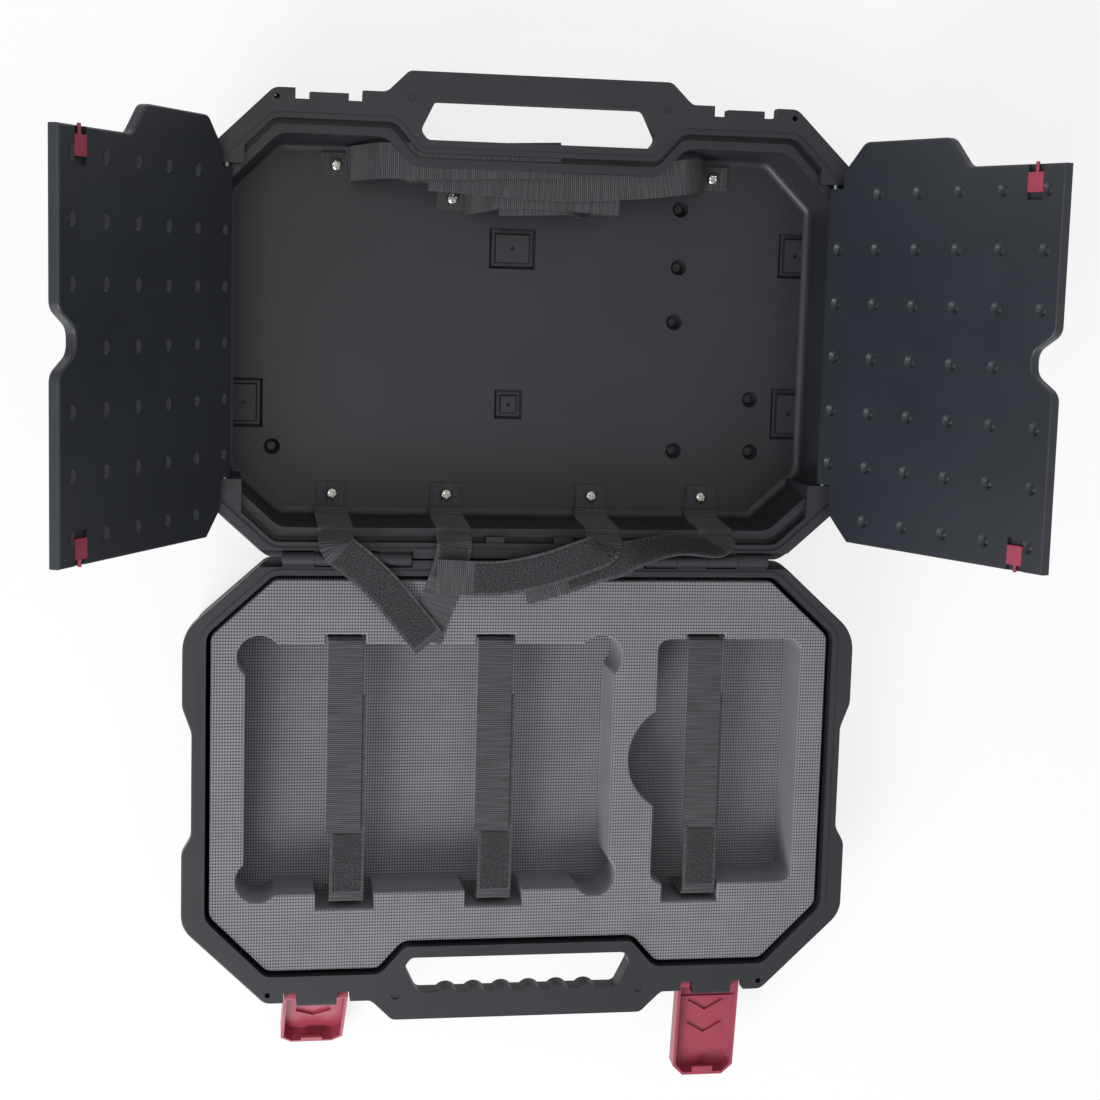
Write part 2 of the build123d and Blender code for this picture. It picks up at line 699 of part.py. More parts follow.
# Screws and strap tabs
screws = []
tabs = []
for x, y in anchors_front + anchors_rear:
    z = -tray_depth
    head = Pos(x, y, z + tab_thick + screw_head_height / 2) * Cylinder(
        screw_head / 2, screw_head_height)
    head = fillet(head.edges().group_by(Axis.Z)[-1], screw_head_round)
    shank = Pos(x, y, z + tab_thick - screw_length / 2) * Cylinder(screw_shank / 2, screw_length)
    screws.append(head + shank)
    tabs.append(Pos(x, y, z + tab_thick / 2) * Box(tab_width, tab_length, tab_thick)
                - Pos(x, y, z) * Cylinder(screw_shank / 2 + screw_hole_gap, tab_thick * 3))
    lid_shell -= Pos(x, y, z + tab_thick - screw_length / 2) * Cylinder(
        screw_shank / 2, screw_length)


def ribbon(points, width, thick, turn, x):
    """Flat band of webbing whose side view follows points of (distance from the hinge, height)."""
    path = FilletPolyline(*points, radius=turn)
    return Pos(x, 0, 0) * extrude(Plane.YZ * trace(path, thick), width / 2, both=True)


def band(stations, width, thick):
    """Loose band of webbing through stations of centre, across direction and run direction."""
    rings = []
    for centre, across, run in stations:
        plane = Plane(origin=centre, x_dir=across, z_dir=run)
        rings.append([plane.from_local_coords(Vector(x * width / 2, y * thick / 2, 0))
                      for x, y in ((1, 1), (-1, 1), (-1, -1), (1, -1))])
    faces = [Face(Wire.make_polygon(ring, close=True)) for ring in (rings[0], rings[-1])]
    for near, far in zip(rings, rings[1:]):
        for i in range(4):
            j = (i + 1) % 4
            faces.append(Face.make_surface_from_curves(
                Edge.make_line(near[i], near[j]), Edge.make_line(far[i], far[j])))
    return Solid(Shell(faces)).fix()


# Straps over the pockets, each an under half from the front and an upper half from the rear
strap_upper_z = strap_under_z + webbing_thick + strap_layer_gap
front_drop = tablet_front + strap_slot_reach - strap_turn - webbing_thick
rear_drop = tablet_rear - rear_slot_reach / 2
foam_straps = []
patches = []
for under_x, upper_x in strap_centres:
    under = ribbon([(front_drop, foam_split), (front_drop, strap_under_z),
                    (strap_under_end, strap_under_z)], webbing, webbing_thick, strap_turn, under_x)
    upper = ribbon([(rear_drop, foam_split), (rear_drop, strap_upper_z),
                    (strap_upper_end, strap_upper_z)], webbing, webbing_thick, strap_turn, upper_x)
    foam_straps.append((base_side(under), base_side(upper)))
    patch_z = strap_under_z + webbing_thick / 2
    patches.append(base_side(block(under_x - patch_width / 2, under_x + patch_width / 2,
                                   strap_upper_end + patch_end_gap, front_drop - strap_turn * 2,
                                   patch_z, patch_z + patch_thick)))

# Loose straps of the tray, lying as they were dropped: centre, across and run of each station.
# The rear ones are measured across from their anchor and forward of the hinge line.
tab_top = tab_thick + strap_layer_gap + webbing_thick / 2 - tray_depth
rear_anchor_y = anchors_rear[0][1]
rear_climb = [
    (rear_anchor_y - 5.5, tab_top, (0, -1, 0)),
    (rear_anchor_y - 9.5, tab_top + 2, (0, -0.75, 0.7)),
    (rear_anchor_y - 12.8, 12 - tray_depth, (0, -0.08, 1)),
    (24.2, -14, (0, -0.1, 1)),
]


def from_rear_anchor(anchor, stations):
    """Loose strap that climbs the tray's rear wall from its anchor and goes on through stations."""
    x0 = anchor[0]
    climb = [((x0, y, z), (1, 0, 0), run) for y, z, run in rear_climb]
    rest = [((x0 + x, y, z), across, run) for (x, y, z), across, run in stations]
    return band(climb + rest, webbing, webbing_thick)


def from_front_anchor(anchor, way, stations):
    """Loose strap that climbs from its anchor in the tray's front and lies across the opening."""
    x0, y0 = anchor
    rows = [((x0 + way * x, y0 + y, z), across, run) for (x, y, z), across, run in stations]
    return band(rows, webbing, webbing_thick)


tray_straps_lower = [
    from_rear_anchor(anchors_rear[0], [
        ((2, 19.5, 0.6), (1, 0.05, 0), (0.15, -0.6, 0.8)),
        ((6, 11, 5), (0.96, 0.25, 0), (0.3, -0.95, 0.2)),
        ((17, -2, 7.5), (0.85, 0.5, 0), (0.5, -0.85, 0)),
        ((34, -20, 4.5), (0.8, 0.6, 0), (0.6, -0.8, -0.12)),
        ((52, -41, 1.2), (0.78, 0.62, 0), (0.62, -0.78, -0.1)),
        ((68.5, -61, 0.4), (0.78, 0.62, 0), (0.62, -0.78, 0)),
    ]),
    from_rear_anchor(anchors_rear[1], [
        ((0, 19.5, -1), (1, 0, 0), (0, -0.6, 0.8)),
        ((-0.5, 10, 4), (1, -0.05, 0), (-0.05, -0.95, 0.2)),
        ((-3, -4, 5), (1, -0.15, 0), (-0.15, -1, -0.05)),
        ((-9, -24, 1), (0.97, -0.25, 0), (-0.25, -0.97, -0.15)),
        ((-15, -42, -1.4), (0.96, -0.28, 0), (-0.28, -0.96, 0)),
        ((-20, -59, -1.5), (0.96, -0.28, 0), (-0.28, -0.96, 0)),
    ]),
    from_rear_anchor(anchors_rear[2], [
        ((-1, 20.5, 0.5), (0.99, -0.1, 0), (-0.1, -0.6, 0.8)),
        ((-9, 12.5, 7.5), (0.8, -0.6, 0.1), (-0.55, -0.7, 0.3)),
        ((-25, 2.5, 10), (0.5, -0.85, 0.05), (-0.85, -0.5, 0.05)),
        ((-47, -6, 10.2), (0.3, -0.95, 0), (-0.95, -0.3, 0)),
        ((-80, -12, 10.2), (0.08, -1, 0), (-1, -0.08, 0)),
        ((-123, -11, 9.6), (-0.05, -1, 0), (-1, 0.05, 0)),
    ]),
    from_rear_anchor(anchors_rear[3], [
        ((-3, 22, 0), (0.9, -0.2, 0.2), (-0.3, -0.3, 0.9)),
        ((-16, 19.5, 10), (0.5, -0.5, 0.7), (-0.85, -0.4, 0.35)),
        ((-36, 15, 13), (0.2, -0.45, 0.86), (-0.93, -0.35, 0.02)),
        ((-62, 7, 11), (0.2, -0.6, 0.75), (-0.94, -0.33, -0.15)),
        ((-76, 1, 6.5), (0.3, -0.85, 0.42), (-0.94, -0.33, -0.2)),
        ((-90, -3, 3.8), (0.33, -0.94, 0.1), (-0.94, -0.33, -0.06)),
        ((-116, -12, 3.2), (0.33, -0.94, 0.02), (-0.94, -0.33, -0.02)),
        ((-144, -20, 2.8), (0.3, -0.95, 0), (-0.95, -0.3, 0)),
    ]),
]
tray_straps_upper = [
    from_front_anchor(anchors_front[0], 1, [
        ((9.5, 1, tab_top), (0, 1, 0), (-0.9, 0, 0.3)),
        ((6, 1, 10 - tray_depth), (0, 1, 0), (-0.2, 0, 1)),
        ((5, 1, -8), (0, 1, 0), (0.1, 0, 1)),
        ((10, 1.5, 1), (0, 1, 0), (0.8, 0, 0.6)),
        ((24, 2, 3), (0, 1, 0), (1, 0, 0.03)),
        ((80, 3, 3.2), (-0.02, 1, 0), (1, 0.02, 0)),
        ((157, 6.5, 2.6), (-0.05, 1, 0), (1, 0.05, 0)),
    ]),
    from_front_anchor(anchors_front[1], 1, [
        ((9, 1, tab_top), (0, 1, 0), (0.9, 0, 0.3)),
        ((14, 1.5, 10 - tray_depth), (0, 1, 0), (0.2, 0, 1)),
        ((17, 3, -14), (0, 1, 0), (0.1, 0, 1)),
        ((25, 5, -6.5), (0, 1, 0), (0.95, 0.05, 0.3)),
        ((65, 5, -6), (0, 1, 0), (1, 0, 0)),
        ((117, 3, -6.5), (0, 1, 0), (1, 0, -0.02)),
    ]),
    from_front_anchor(anchors_front[2], -1, [
        ((9, 1, tab_top), (0, 1, 0), (-0.9, 0, 0.3)),
        ((15, 1, 10 - tray_depth), (0, 1, 0), (-0.2, 0, 1)),
        ((17, 1, -18), (0, 1, 0), (-0.1, 0, 1)),
        ((25, 2, -9.5), (0, 1, 0), (-0.95, 0, 0.25)),
        ((55, 1, -9), (0, 1, 0), (-1, 0, 0)),
        ((81, 0, -9.5), (0, 1, 0), (-1, 0, -0.02)),
    ]),
    from_front_anchor(anchors_front[3], -1, [
        ((9.5, 1, tab_top), (0, 1, 0), (0.9, 0, 0.3)),
        ((6, 1, 10 - tray_depth), (0, 1, 0), (0.2, 0, 1)),
        ((4, 0.5, -14), (0, 1, 0), (-0.1, 0, 1)),
        ((9, -0.5, -5), (0, 1, 0), (-0.8, -0.05, 0.6)),
        ((26, -2.5, -2.6), (-0.05, 1, 0), (-1, -0.05, 0.02)),
        ((65, -6, -2.4), (-0.08, 1, 0), (-1, -0.08, 0)),
        ((124, -9.5, -2.6), (0, 1, 0), (-1, 0, 0)),
        ((217, -5.4, -1.4), (0.05, 1, 0), (-1, 0.05, 0)),
    ]),
]

nodes = {
    "base_shell": base_shell,
    "lid_shell": lid_shell,
    "hinge_pin_left": hinge_pin_left,
    "hinge_pin_right": hinge_pin_right,
    "flap_left": opened(flap, -1, flap_lean_left),
    "flap_right": opened(flap, 1, flap_lean_right),
    "flap_pin_left_front": left_side(flap_pin_front),
    "flap_pin_left_rear": left_side(flap_pin_rear),
    "flap_pin_right_front": flap_pin_front,
    "flap_pin_right_rear": flap_pin_rear,
    "bolt_left_front": opened(bolt_front_piece, -1, flap_lean_left),
    "bolt_left_rear": opened(bolt_rear_piece, -1, flap_lean_left),
    "bolt_right_front": opened(bolt_front_piece, 1, flap_lean_right),
    "bolt_right_rear": opened(bolt_rear_piece, 1, flap_lean_right),
    "latch_left": hung(latch, -1, latch_lean_left),
    "latch_right": hung(latch, 1, latch_lean_right),
    "latch_pin_left": hung(latch_pin_body, -1, 0),
    "latch_pin_right": hung(latch_pin_body, 1, 0),
    "foam_base": base_side(foam_base),
    "foam_top": base_side(foam_top),
    "tray_screws": Compound(children=screws),
    "strap_tabs": Compound(children=tabs),
    "foam_strap_patches": Compound(children=patches),
}
for letter, (under, upper) in zip("abc", foam_straps):
    nodes["foam_strap_" + letter + "_under"] = under
    nodes["foam_strap_" + letter + "_upper"] = upper
for place, straps in (("lower", tray_straps_lower), ("upper", tray_straps_upper)):
    for number, strap in enumerate(straps, 1):
        nodes["tray_strap_" + place + "_" + str(number)] = strap

os.makedirs("parts", exist_ok=True)
shift = Location((0, (rear_gap + front_edge) / 2, half_depth))
for name, shape in nodes.items():
    export_step(shift * shape, "parts/" + name + ".step")
    print(name, round(shape.volume), shape.is_valid)
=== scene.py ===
# %% [markdown]
# # An open carrying case
# The case lies open flat on a table: a foam-lined base in front, a tray lid behind, two leaning
# flaps and a handful of webbing straps. The exact solids come from the frame, and this file
# dresses them. Lengths are in millimetres where a name says nothing else, and MM turns them into
# Blender's metres.
# %% Load the frame
import json
import math

import bmesh
import bpy
import numpy as np
from mathutils import Matrix, Vector


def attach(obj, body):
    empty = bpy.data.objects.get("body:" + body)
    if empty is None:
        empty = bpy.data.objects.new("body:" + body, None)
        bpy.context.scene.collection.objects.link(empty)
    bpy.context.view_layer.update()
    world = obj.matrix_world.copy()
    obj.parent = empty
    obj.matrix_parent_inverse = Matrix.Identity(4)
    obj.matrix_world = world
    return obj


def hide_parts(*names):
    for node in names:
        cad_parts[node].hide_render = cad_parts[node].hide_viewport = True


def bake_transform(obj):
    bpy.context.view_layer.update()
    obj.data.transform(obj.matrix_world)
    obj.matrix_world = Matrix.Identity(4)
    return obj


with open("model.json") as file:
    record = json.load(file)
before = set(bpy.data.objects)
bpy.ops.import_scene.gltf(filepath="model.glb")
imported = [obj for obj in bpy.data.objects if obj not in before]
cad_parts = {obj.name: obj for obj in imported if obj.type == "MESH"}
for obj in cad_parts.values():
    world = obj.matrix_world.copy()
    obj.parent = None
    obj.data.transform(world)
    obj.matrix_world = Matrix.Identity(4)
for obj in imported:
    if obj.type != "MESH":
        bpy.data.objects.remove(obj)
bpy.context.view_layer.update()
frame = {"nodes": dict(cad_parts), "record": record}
MM = 0.001
hinge_y = 0.1645  # metres, the hinge line, behind the frame's origin
rim_z = 0.075  # metres, the plane where the two rims meet
print("frame", len(frame["nodes"]), "nodes")

# %% [markdown]
# ## Small helpers
# Things are put in the scene unturned and at the origin. Points are easiest to write from the hinge
# line and the rim plane, which are the two references of the whole case.
# %% Small helpers


def put(name, data):
    """A new object in the scene that shows the given mesh, light or camera."""
    item = bpy.data.objects.new(name, data)
    bpy.context.scene.collection.objects.link(item)
    return item


def placed(points):
    """Points given from the hinge line and the rim plane, moved to the frame's own origin."""
    return np.asarray(points, float) + (0, hinge_y * 1000, rim_z * 1000)


# %% [markdown]
# ## Camera
# The photograph was taken from above and a little to the left, with the lens looking almost
# straight down. The camera's three axes are the columns of its rotation matrix.
# %% Camera
camera_right = Vector((0.985564, 0.028318, 0.166917))
camera_up = Vector((-0.00619, 0.99128, -0.131624))
camera_back = camera_right.cross(camera_up)
from_hinge = (-0.23511, 0.1977, 1.44419)  # metres, from the hinge line and the rim plane

camera_data = bpy.data.cameras.new("camera")
camera_data.sensor_width = 36
camera_data.lens = 66.63
camera_data.clip_end = 20
camera = put("camera", camera_data)
turn = Matrix((camera_right, camera_up, camera_back)).transposed().to_4x4()
camera_place = (from_hinge[0], from_hinge[1] + hinge_y, from_hinge[2] + rim_z)
camera.matrix_world = Matrix.Translation(camera_place) @ turn
bpy.context.scene.camera = camera
bpy.context.scene.view_settings.view_transform = "Standard"
print("camera", tuple(round(v, 3) for v in camera.location))

# %% [markdown]
# ## Helpers for materials
# Colours are written as the sRGB hex values that a designer would pick, and one function turns them
# into the linear values that Blender works in. One more function adds a node with its settings, and
# the rest are short names for the nodes that every material here uses.
# %% Helpers for materials


def linear(hex_colour):
    """Linear RGBA of an sRGB hex colour: each channel's gamma curve undone."""
    values = [int(hex_colour[i:i + 2], 16) / 255 for i in (1, 3, 5)]
    return tuple(v / 12.92 if v < 0.04045 else ((v + 0.055) / 1.055) ** 2.4
                 for v in values) + (1.0,)


def add(tree, kind, inputs=None, **settings):
    """Add a node with its settings; its inputs are given as values or as other nodes' sockets."""
    node = tree.nodes.new(kind)
    for name, value in settings.items():
        setattr(node, name, value)
    for name, value in (inputs or {}).items():
        if isinstance(value, bpy.types.NodeSocket):
            tree.links.new(value, node.inputs[name])
        else:
            node.inputs[name].default_value = value
    return node


def new_material(name):
    """A material with its Principled shader, returned with its node tree."""
    material = bpy.data.materials.new(name)
    material.use_nodes = True
    return material, material.node_tree, material.node_tree.nodes["Principled BSDF"]


def object_place(tree):
    """Where a point lies on its own object, so that a pattern moves with the piece."""
    return add(tree, "ShaderNodeTexCoord").outputs["Object"]


def noise(tree, place, scale, detail=2.0):
    """Smooth random values about one over scale metres apart, centred on a half."""
    settings = {"Vector": place, "Scale": scale, "Detail": detail}
    return add(tree, "ShaderNodeTexNoise", settings).outputs["Fac"]


def ranged(tree, value, low, high, to_low=0.0, to_high=1.0):
    """The value taken from low..high to to_low..to_high in a straight line, and held past them."""
    limits = {"Value": value, 1: low, 2: high, 3: to_low, 4: to_high}
    return add(tree, "ShaderNodeMapRange", limits).outputs[0]


def mixed(tree, share, first, second):
    """A colour between two: the first where the share is 0, and the second where it is 1."""
    colours = {0: share, 6: first, 7: second}
    return add(tree, "ShaderNodeMix", colours, data_type="RGBA").outputs[2]


def maths(tree, operation, *values):
    """One step of arithmetic on one, two or three values."""
    return add(tree, "ShaderNodeMath", dict(enumerate(values)), operation=operation).outputs[0]


def bumped(tree, shader, height, depth_mm, strength):
    """Turn a height pattern of the given depth into relief on the shader."""
    settings = {"Height": height, "Distance": depth_mm * MM, "Strength": strength}
    relief = add(tree, "ShaderNodeBump", settings)
    tree.links.new(relief.outputs[0], shader.inputs["Normal"])


# %% [markdown]
# ## Table and light
# A pale, plain table and soft studio light. The white of the table is its own colour, helped by
# what only the camera sees, so that no extra light has to fall on the black case.
# %% Table and light
reach = 4.0  # metres from the middle of the table to its edges
camera_share = 0.8
corners = [(-reach, -reach, 0), (reach, -reach, 0), (reach, reach, 0), (-reach, reach, 0)]
table_mesh = bpy.data.meshes.new("table")
table_mesh.from_pydata(corners, [], [(0, 1, 2, 3)])
table = put("table", table_mesh)
table_paint, tree, shader = new_material("white laminate")
shader.inputs["Base Color"].default_value = linear("#f4f4f4")
shader.inputs["Roughness"].default_value = 0.8
rays = add(tree, "ShaderNodeLightPath")
seen = maths(tree, "MULTIPLY", rays.outputs["Is Camera Ray"], camera_share)
glow = add(tree, "ShaderNodeEmission", {"Color": (1, 1, 1, 1), "Strength": 1.0})
both = add(tree, "ShaderNodeMixShader", {0: seen, 1: shader.outputs[0], 2: glow.outputs[0]})
tree.links.new(both.outputs[0], tree.nodes["Material Output"].inputs["Surface"])
table_mesh.materials.append(table_paint)

world = bpy.data.worlds.new("studio")
world.use_nodes = True
bpy.context.scene.world = world
world.node_tree.nodes["Background"].inputs["Color"].default_value = (1, 1, 1, 1)
world.node_tree.nodes["Background"].inputs["Strength"].default_value = 0.55


def lamp(name, place, aim, size, power):
    """A square soft box at a place, turned towards a point, in metres and watts."""
    data = bpy.data.lights.new(name, "AREA")
    data.size = size
    data.energy = power
    item = put(name, data)
    item.location = place
    item.rotation_euler = (Vector(aim) - Vector(place)).to_track_quat("-Z", "Y").to_euler()


lamp("front soft box", place=(-1.3, -1.6, 1.7), aim=(0.0, -0.2, 0.0), size=1.4, power=60)
lamp("overhead soft box", place=(-0.9, 0.5, 2.6), aim=(0.0, 0.2, 0.0), size=1.6, power=8)
print("table and two soft boxes")

# %% [markdown]
# ## Moulded shell
# The shells are blow-moulded polyethylene: hot plastic blown against a sand-blasted mould, which
# leaves a fine, even grain and a satin sheen. Noise of about a millimetre gives that grain, and a
# slow noise gives the faint unevenness of a real moulding. The flaps are thinner and smoother.
# %% Moulded shell


def moulded(name, dark, light, rough, grain_mm, grain_depth_mm):
    """Satin moulded plastic: a slow change of tone, and a fine bump of the given grain."""
    material, tree, shader = new_material(name)
    place = object_place(tree)
    slow = noise(tree, place, scale=14.0, detail=3.0)
    tone = mixed(tree, slow, linear(dark), linear(light))
    tree.links.new(tone, shader.inputs["Base Color"])
    grain = noise(tree, place, scale=1 / (grain_mm * MM), detail=1.0)
    bumped(tree, shader, grain, grain_depth_mm, strength=0.6)
    wear = ranged(tree, slow, 0, 1, rough - 0.05, rough + 0.07)
    tree.links.new(wear, shader.inputs["Roughness"])
    return material


shell_plastic = moulded("blow-moulded polyethylene", "#202226", "#2b2d32",
                        rough=0.42, grain_mm=1.1, grain_depth_mm=0.10)
flap_plastic = moulded("moulded polyethylene sheet", "#26292f", "#30343b",
                       rough=0.36, grain_mm=1.0, grain_depth_mm=0.06)
print("moulded plastics:", shell_plastic.name, "and", flap_plastic.name)

# %% [markdown]
# ## Latches
# The latches and the small bolts are injection-moulded in a dark red nylon with a smooth, slightly
# glossy surface.
# %% Latch nylon
latch_nylon, tree, shader = new_material("dark red nylon")
flow = noise(tree, object_place(tree), scale=60.0)
tone = mixed(tree, flow, linear("#8f3247"), linear("#a34457"))
tree.links.new(tone, shader.inputs["Base Color"])
shader.inputs["Roughness"].default_value = 0.3
shader.inputs["IOR"].default_value = 1.53
print("latches:", latch_nylon.name)

# %% [markdown]
# ## Pins and screws
# The pins are drawn steel wire and the screws are nickel-plated. Both are bare metal whose
# roughness varies a little from place to place.
# %% Metals


def metal(name, colour, grain_scale, smoothest, roughest):
    """Bare metal: one colour, and a roughness that wanders between two values."""
    material, tree, shader = new_material(name)
    shader.inputs["Metallic"].default_value = 1.0
    haze = noise(tree, object_place(tree), scale=grain_scale)
    rough = ranged(tree, haze, 0, 1, smoothest, roughest)
    tree.links.new(rough, shader.inputs["Roughness"])
    shader.inputs["Base Color"].default_value = linear(colour)
    return material


pin_steel = metal("drawn steel wire", "#9d9fa3", 900.0, smoothest=0.25, roughest=0.45)
plated = metal("nickel plate", "#d8d6d0", 700.0, smoothest=0.12, roughest=0.24)
print("metals:", pin_steel.name, "and", plated.name)

# %% [markdown]
# ## Finishes of the exact solids
# Every solid of the frame keeps its exact shape and gets the material that its record entry names.
# %% Give the CAD nodes their finishes
finishes = {
    "shell_black": shell_plastic,
    "flap_black": flap_plastic,
    "latch_red": latch_nylon,
    "pin_steel": pin_steel,
    "screw_chrome": plated,
}
slots = {part["node"]: part["material_slot"] for part in frame["record"]["subparts"]}
for node, slot in slots.items():
    if slot in finishes:
        item = frame["nodes"][node]
        item.data.materials.clear()
        item.data.materials.append(finishes[slot])
print("finished", sum(slot in finishes for slot in slots.values()), "nodes")

# %% [markdown]
# ## Small repeated pieces
# Screws, dimple floors and stitches are each one small pattern of points, set down many times. A
# pattern is a surface turned about its own axis: its rings follow a profile of radius and height.
# %% Small repeated pieces
near_axis = 0.01  # radius of the innermost ring, which closes a turned surface


def turned(profile, around, recess=None):
    """Points and faces of a turned surface: (r cos a, r sin a, z) for every profile row (r, z).
    A recess lowers each point by its function of x, y and z."""
    profile = np.asarray(profile, float)
    angle = np.linspace(0, 2 * math.pi, around, endpoint=False)
    x = profile[:, :1] * np.cos(angle)
    y = profile[:, :1] * np.sin(angle)
    z = np.repeat(profile[:, 1:], around, 1)
    if recess:
        z = z - recess(x, y, z)
    points = np.stack([x, y, z], -1).reshape(-1, 3)
    index = np.arange(len(profile) * around).reshape(len(profile), around)
    near, far = index[:-1], index[1:]
    faces = np.stack([near, far, np.roll(far, -1, 1), np.roll(near, -1, 1)], -1).reshape(-1, 4)
    return points, faces


def scattered(name, pattern, places, material, body):
    """One object with the pattern at every place (origin, three axes): origin + x u + y v + z w.
    It rides on a body, unless that is None because the piece below it bends."""
    points, faces = pattern
    places = np.asarray(places, float)
    origin, axes = places[:, 0], places[:, 1:]
    spots = origin[:, None] + np.einsum("pk,nkc->npc", points, axes)
    first_point = (np.arange(len(places)) * len(points))[:, None, None]
    mesh = bpy.data.meshes.new(name)
    mesh.from_pydata(spots.reshape(-1, 3) * MM, [], (faces + first_point).reshape(-1, 4).tolist())
    mesh.validate()
    mesh.shade_smooth()
    mesh.materials.append(material)
    item = put(name, mesh)
    if body:
        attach(item, body)
    print(name, len(places), "pieces")
    return item


# %% [markdown]
# ## Dimple floors of the flaps
# Where the two walls of a blown flap are pressed together, a small disc is left at the bottom of
# each dimple. It bulges a little, which gives every dimple its bright point. A point on an open
# flap is its distance from the pivot along the flap, and its height off the flap's middle plane.
# %% Dimple floors
flap_leans = {"left": (-1, 61.6), "right": (1, 64.6)}  # side, and degrees above level
pivot = (219.0, -4.5)
dimple_columns, dimple_rows, dimple_pitch = 6, 7, 38.9
first_along, first_y = 10, 35.1
left_out = ((0, 0), (0, 6), (5, 3))  # at two corners and at the finger notch
disc_radius, disc_bulge, disc_height = 2.45, 0.7, 1.35


def flap_place(side, lean, along, y, height):
    """Origin and axes of a point on an open flap, which runs along (cos lean, sin lean)."""
    c, s = math.cos(math.radians(lean)), math.sin(math.radians(lean))
    origin = placed([side * (pivot[0] + along * c - height * s), y,
                     pivot[1] + along * s + height * c])
    return [origin, (side * c, 0, s), (0, side, 0), (-side * s, 0, c)]


disc = turned([(r, disc_bulge * (1 - (r / disc_radius) ** 2))
               for r in np.linspace(near_axis, disc_radius, 5)], 16)
for name, (side, lean) in flap_leans.items():
    places = [flap_place(side, lean, first_along + dimple_pitch * column,
                         first_y + dimple_pitch * row, disc_height)
              for column in range(dimple_columns) for row in range(dimple_rows)
              if (column, row) not in left_out]
    scattered("dimple_floors_" + name, disc, places, flap_plastic, "flap_" + name)

# %% [markdown]
# ## Screws
# Pan-head screws with a cross recess. The head's height is a superellipse of its radius, and the
# recess takes away a share of it wherever a point is near one of the two arms of the cross.
# %% Screws
tray_floor = -60
tab_height = 2.8
head_radius, head_height, head_power = 4.5, 2.6, 3.2
shank_radius, screw_length = 2.0, 9.0
arm_half, arm_slope = 0.62, 0.25
arm_reach, reach_slope = 2.6, 0.5
recess_depth, recess_above = 1.5, 0.5
first_turn, next_turn = 23, 67  # degrees, so that no two screws stand alike
anchors = [(-140, 280), (-55, 259), (55, 259), (140, 280),
           (-140, 41), (-55, 41), (55, 41), (140, 41)]


def cross(x, y, z):
    """Depth of the recess: full within an arm's half width, none beyond it or past its end."""
    arm = np.minimum(abs(x), abs(y))
    inside = np.clip((arm_half - arm) / arm_slope, 0, 1)
    inside = inside * np.clip((arm_reach - np.hypot(x, y)) / reach_slope, 0, 1)
    return np.where(z > recess_above, recess_depth * inside, 0)


head = [(r, head_height * (1 - (r / head_radius) ** head_power) ** 0.5)
        for r in np.linspace(near_axis, head_radius, 22)]
tip = tab_height - screw_length
screw = turned(head + [(shank_radius, 0.0), (shank_radius, tip), (near_axis, tip)], 64, cross)
places = []
for number, (x, y) in enumerate(anchors):
    turn = math.radians(first_turn + next_turn * number)
    places.append([placed((x, y, tray_floor + tab_height)), (math.cos(turn), math.sin(turn), 0),
                   (-math.sin(turn), math.cos(turn), 0), (0, 0, 1)])
screws = scattered("cross_head_screws", screw, places, plated, "lid")
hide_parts("tray_screws")

# %% [markdown]
# ## Foam
# The base is filled with closed-cell polyethylene foam whose top is embossed with a fine grid of
# small dents. Each dent is painted dark as painted shade, so the top reads as rows of dark dots on
# mid grey. The dots are 2 mm apart, as counted on the real one, and come from the product of two
# waves.
# The cut edges are softened with a bevel.
# %% Foam
pitch_x, pitch_y = 2.0, 2.3
foam_paint, tree, shader = new_material("embossed polyethylene foam")
place = object_place(tree)
apart = add(tree, "ShaderNodeSeparateXYZ", {0: place})
rows = []
for axis, pitch in (("X", pitch_x), ("Y", pitch_y)):
    phase = maths(tree, "MULTIPLY", apart.outputs[axis], math.pi / (pitch * MM))
    rows.append(maths(tree, "POWER", maths(tree, "SINE", phase), 2.0))
dents = ranged(tree, maths(tree, "MULTIPLY", *rows), 0.22, 0.6)
normal = add(tree, "ShaderNodeNewGeometry").outputs["Normal"]
facing = add(tree, "ShaderNodeSeparateXYZ", {0: normal})
on_top = ranged(tree, facing.outputs["Z"], 0.6, 0.9)
dent_depth_and_shade = maths(tree, "MULTIPLY", dents, on_top)
blotch = noise(tree, place, scale=30.0, detail=3.0)
grey = mixed(tree, blotch, linear("#74757a"), linear("#87888d"))
# Painted shade: the dents are painted near black, standing for the shade that falls in them.
tree.links.new(mixed(tree, dent_depth_and_shade, grey, linear("#202024")), shader.inputs["Base Color"])
shader.inputs["Roughness"].default_value = 0.85
cells = noise(tree, place, scale=1400.0, detail=1.0)
bumped(tree, shader, maths(tree, "SUBTRACT", cells, dent_depth_and_shade), depth_mm=0.3, strength=0.5)

weld = 1e-6  # metres between corners that are the same
flat_turn, edge_turn = math.radians(1), math.radians(40)


def soft_copy(node, name, soften):
    """A merged copy of a CAD solid whose sharp edges are rounded by a bevel."""
    mesh = frame["nodes"][node].data.copy()
    work = bmesh.new()
    work.from_mesh(mesh)
    bmesh.ops.remove_doubles(work, verts=work.verts, dist=weld)
    bmesh.ops.dissolve_limit(work, angle_limit=flat_turn, verts=work.verts, edges=work.edges)
    work.to_mesh(mesh)
    work.free()
    mesh.materials.clear()
    item = put(name, mesh)
    edge = item.modifiers.new("softened edges", "BEVEL")
    edge.width = soften
    edge.segments = 3
    edge.angle_limit = edge_turn
    edge.harden_normals = True
    return item


for node, soften in (("foam_top", 1.2 * MM), ("foam_base", 0.3 * MM)):
    foam = soft_copy(node, node + "_cut", soften)
    foam.data.materials.append(foam_paint)
    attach(foam, "base")
    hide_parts(node)
    print(foam.name, "edges softened by", round(soften / MM, 1), "mm")
